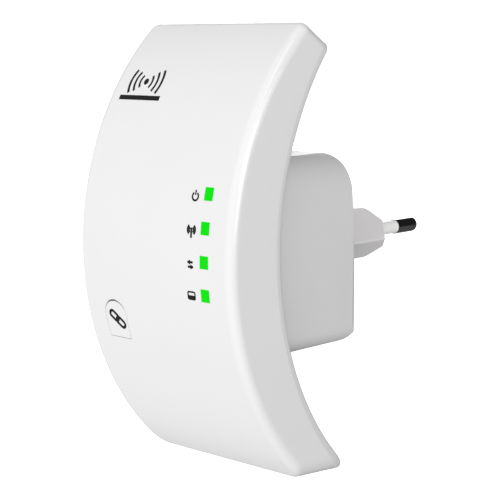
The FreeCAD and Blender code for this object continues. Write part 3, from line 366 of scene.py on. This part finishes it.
def symbol_power(ink):
    """A broken ring with an upright bar in its gap."""
    x, z = SYMBOL_X + 0.15, POWER_Z
    mesh = bmesh.new()
    stroke(mesh, arc(x, z - 0.2, 0.95, 125, 415), 0.46)
    stroke(mesh, line(x, z + 0.1, x, z + 1.3), 0.4)
    finish_print(mesh, "symbol_power", "housing", ink)


def symbol_signal(ink):
    """An upright mast with two bold arcs on either side of its top."""
    x, z = SYMBOL_X, SIGNAL_Z
    mesh = bmesh.new()
    stroke(mesh, line(x, z - 1.6, x, z + 0.25), 0.56)
    disc(mesh, x, z + 0.45, 0.36)
    for side in (0, 180):
        stroke(mesh, arc(x, z + 0.3, 0.72, side - 52, side + 52), 0.44)
        stroke(mesh, arc(x, z + 0.3, 1.25, side - 52, side + 52), 0.52)
    finish_print(mesh, "symbol_signal", "housing", ink)


def symbol_traffic(ink):
    """Two short bold arrows, one to each side."""
    x, z = SYMBOL_X - 0.05, TRAFFIC_Z
    mesh = bmesh.new()
    for height, way in ((z + 0.58, -1), (z - 0.52, 1)):
        stroke(mesh, line(x - way * 0.8, height, x + way * 0.05, height), 0.55)
        stroke(mesh, line(x + way * 0.05, height, x + way * 0.95, height), 1.1, 0.4)
    finish_print(mesh, "symbol_traffic", "housing", ink)


def symbol_computer(ink):
    """A screen with a bold rounded frame and a filled lower part."""
    x, z = SYMBOL_X - 0.1, COMPUTER_Z
    mesh = bmesh.new()
    stroke(mesh, ring_box(x, z, 1.15, 0.88, 0.35), 0.4, closed=True)
    stroke(mesh, line(x - 1.0, z - 0.34, x + 1.0, z - 0.34), 0.78)
    finish_print(mesh, "symbol_computer", "housing", ink)


def symbol_link(ink):
    """Two rounded links of a chain, set on a slope, in the middle of the button."""
    x, z = LINK_X, LINK_Z
    mesh = bmesh.new()
    turn = math.radians(LINK_SLOPE)
    for away in (-1.25, 1.25):
        ring = []
        for along, across in ring_box(away, 0.0, 1.55, 0.85, 0.82):
            ring.append((
                x + along * math.cos(turn) - across * math.sin(turn),
                z + along * math.sin(turn) + across * math.cos(turn),
            ))
        stroke(mesh, ring, 0.72, closed=True)
    finish_print(mesh, "symbol_link", "wps_button", ink)


def symbol_broadcast(ink):
    """The plain mark near the top: a dot with arcs to both sides, over a bar."""
    x, z = BROADCAST_X, BROADCAST_Z
    mesh = bmesh.new()
    disc(mesh, x, z, 0.75)
    for side in (0, 180):
        stroke(mesh, arc(x, z, 2.1, side - 42, side + 42), 0.6)
        stroke(mesh, arc(x, z, 3.8, side - 36, side + 36), 0.65)
        stroke(mesh, arc(x, z, 5.5, side - 30, side + 30), 0.7)
    stroke(mesh, line(x - 7.2, z - 3.9, x + 7.2, z - 3.9, 12), 1.1)
    finish_print(mesh, "symbol_broadcast", "housing", ink)


def printed_symbols():
    """All the black symbols on the front face and the button."""
    ink = plastic("print_black", (0.008, 0.008, 0.009), 0.6, 2500.0, 0.004 * MM, spread=0.1, shine=0.12)
    for draw in (symbol_power, symbol_signal, symbol_traffic, symbol_computer, symbol_link, symbol_broadcast):
        draw(ink)


# ------------------------------------------------------------------ stage
def stage_piece(name, mesh):
    """An object of the stage, not of the part, made from a finished mesh."""
    data = bpy.data.meshes.new(name)
    mesh.to_mesh(data)
    mesh.free()
    piece = bpy.data.objects.new(name, data)
    bpy.context.scene.collection.objects.link(piece)
    return piece


def matt_stage(piece, name, colour, roughness):
    """Give a stage piece an even matt material; returns its shader."""
    material = new_material(name)[0]
    shader = material.node_tree.nodes["Principled BSDF"]
    shader.inputs["Base Color"].default_value = colour
    shader.inputs["Roughness"].default_value = roughness
    piece.data.materials.append(material)
    return shader


def studio_floor():
    """A round pale floor that curves up into a pale wall all the way round the object."""
    low = CAD_LOW[2] - FLOOR_GAP
    profile = [(FLOOR_RADIUS, low)]
    for i in range(1, COVE_STEPS + 1):
        angle = math.radians(90.0 * i / COVE_STEPS)
        reach = FLOOR_RADIUS + COVE_RADIUS * math.sin(angle)
        profile.append((reach, low + COVE_RADIUS * (1 - math.cos(angle))))
    profile.append((FLOOR_RADIUS + COVE_RADIUS, low + WALL_HEIGHT))
    mesh = bmesh.new()
    rings = []
    for reach, height in profile:
        ring = arc(0.0, 0.0, reach, 0.0, 360.0, FLOOR_SIDES)[:-1]
        rings.append([mesh.verts.new((x, y, height)) for x, y in ring])
    mesh.faces.new(rings[0])
    for inner, outer in zip(rings, rings[1:]):
        for i in range(FLOOR_SIDES):
            j = (i + 1) % FLOOR_SIDES
            mesh.faces.new((inner[i], outer[i], outer[j], inner[j]))
    floor = stage_piece("studio_floor", mesh)
    for face in floor.data.polygons:
        face.use_smooth = True
    shader = matt_stage(floor, "studio_paper", PAPER_COLOUR, 0.9)
    shader.inputs["Emission Color"].default_value = (1.0, 1.0, 1.0, 1.0)
    shader.inputs["Emission Strength"].default_value = PAPER_GLOW
    floor.visible_diffuse = False
    floor.visible_glossy = False
    floor.visible_shadow = False


def black_card(name, place, size):
    """A matt black card, unseen by the camera, that darkens the reflections on one side."""
    half_w, half_h = size[0] / 2, size[1] / 2
    mesh = bmesh.new()
    corners = [(-half_w, -half_h), (half_w, -half_h), (half_w, half_h), (-half_w, half_h)]
    mesh.faces.new([mesh.verts.new((x, y, 0.0)) for x, y in corners])
    card = stage_piece(name, mesh)
    card.location = place
    card.rotation_euler = aimed(place)
    matt_stage(card, name, BLACK_CARD_COLOUR, 1.0)
    card.visible_camera = False


def aimed(place):
    """The turn that points something at this place towards the object."""
    return (Vector(LIGHTS_AIM) - Vector(place)).to_track_quat("-Z", "Y").to_euler()


def area_light(name, place, size, power):
    """A rectangular soft light at a place, aimed at the object."""
    data = bpy.data.lights.new(name, "AREA")
    data.shape = "RECTANGLE"
    data.size, data.size_y = size
    data.energy = power
    light = bpy.data.objects.new(name, data)
    light.location = place
    light.rotation_euler = aimed(place)
    bpy.context.scene.collection.objects.link(light)


def studio_world():
    """Soft light from all round, a little brighter towards the front left."""
    world = bpy.data.worlds.new("studio_world")
    world.use_nodes = True
    nodes, links = world.node_tree.nodes, world.node_tree.links
    sky = nodes["Background"]
    coords = nodes.new("ShaderNodeTexCoord")
    towards = nodes.new("ShaderNodeVectorMath")
    towards.operation = "DOT_PRODUCT"
    towards.inputs[1].default_value = WORLD_BRIGHT_SIDE
    ramp = nodes.new("ShaderNodeMapRange")
    ramp.interpolation_type = "SMOOTHSTEP"
    ramp.inputs["From Min"].default_value = -WORLD_BLEND
    ramp.inputs["From Max"].default_value = WORLD_BLEND
    ramp.inputs["To Min"].default_value = WORLD_LOW
    ramp.inputs["To Max"].default_value = WORLD_HIGH
    links.new(coords.outputs["Generated"], towards.inputs[0])
    links.new(towards.outputs["Value"], ramp.inputs["Value"])
    links.new(ramp.outputs["Result"], sky.inputs["Strength"])
    sky.inputs["Color"].default_value = (1.0, 1.0, 1.0, 1.0)
    bpy.context.scene.world = world


def studio_lights():
    """A slim light for the edge highlight, soft lights beside and behind, and a black card at the rear."""
    area_light("edge_light", **EDGE_LIGHT)
    area_light("side_light", **SIDE_LIGHT)
    area_light("back_light", **BACK_LIGHT)
    black_card("rear_card", REAR_CARD_PLACE, REAR_CARD_SIZE)


def camera():
    """The camera on its long lens."""
    back = Vector((
        math.sin(CAMERA_TURN) * math.cos(CAMERA_RISE),
        -math.cos(CAMERA_TURN) * math.cos(CAMERA_RISE),
        math.sin(CAMERA_RISE),
    ))
    right = Vector((math.cos(CAMERA_TURN), math.sin(CAMERA_TURN), 0.0))
    up = back.cross(right)
    front_apex = Vector((0.0, CAD_LOW[1], 0.0))
    place = front_apex + back * CAMERA_DISTANCE + right * CAMERA_ASIDE + up * CAMERA_ABOVE
    data = bpy.data.cameras.new("camera")
    data.lens = CAMERA_LENS
    data.sensor_width = SENSOR
    data.clip_start = 0.01
    eye = bpy.data.objects.new("camera", data)
    eye.matrix_world = Matrix((right, up, back)).transposed().to_4x4()
    eye.location = place
    bpy.context.scene.collection.objects.link(eye)
    bpy.context.scene.camera = eye


bpy.context.scene.view_settings.view_transform = "Standard"
dress_cad_nodes()
printed_symbols()
studio_floor()
studio_world()
studio_lights()
camera()
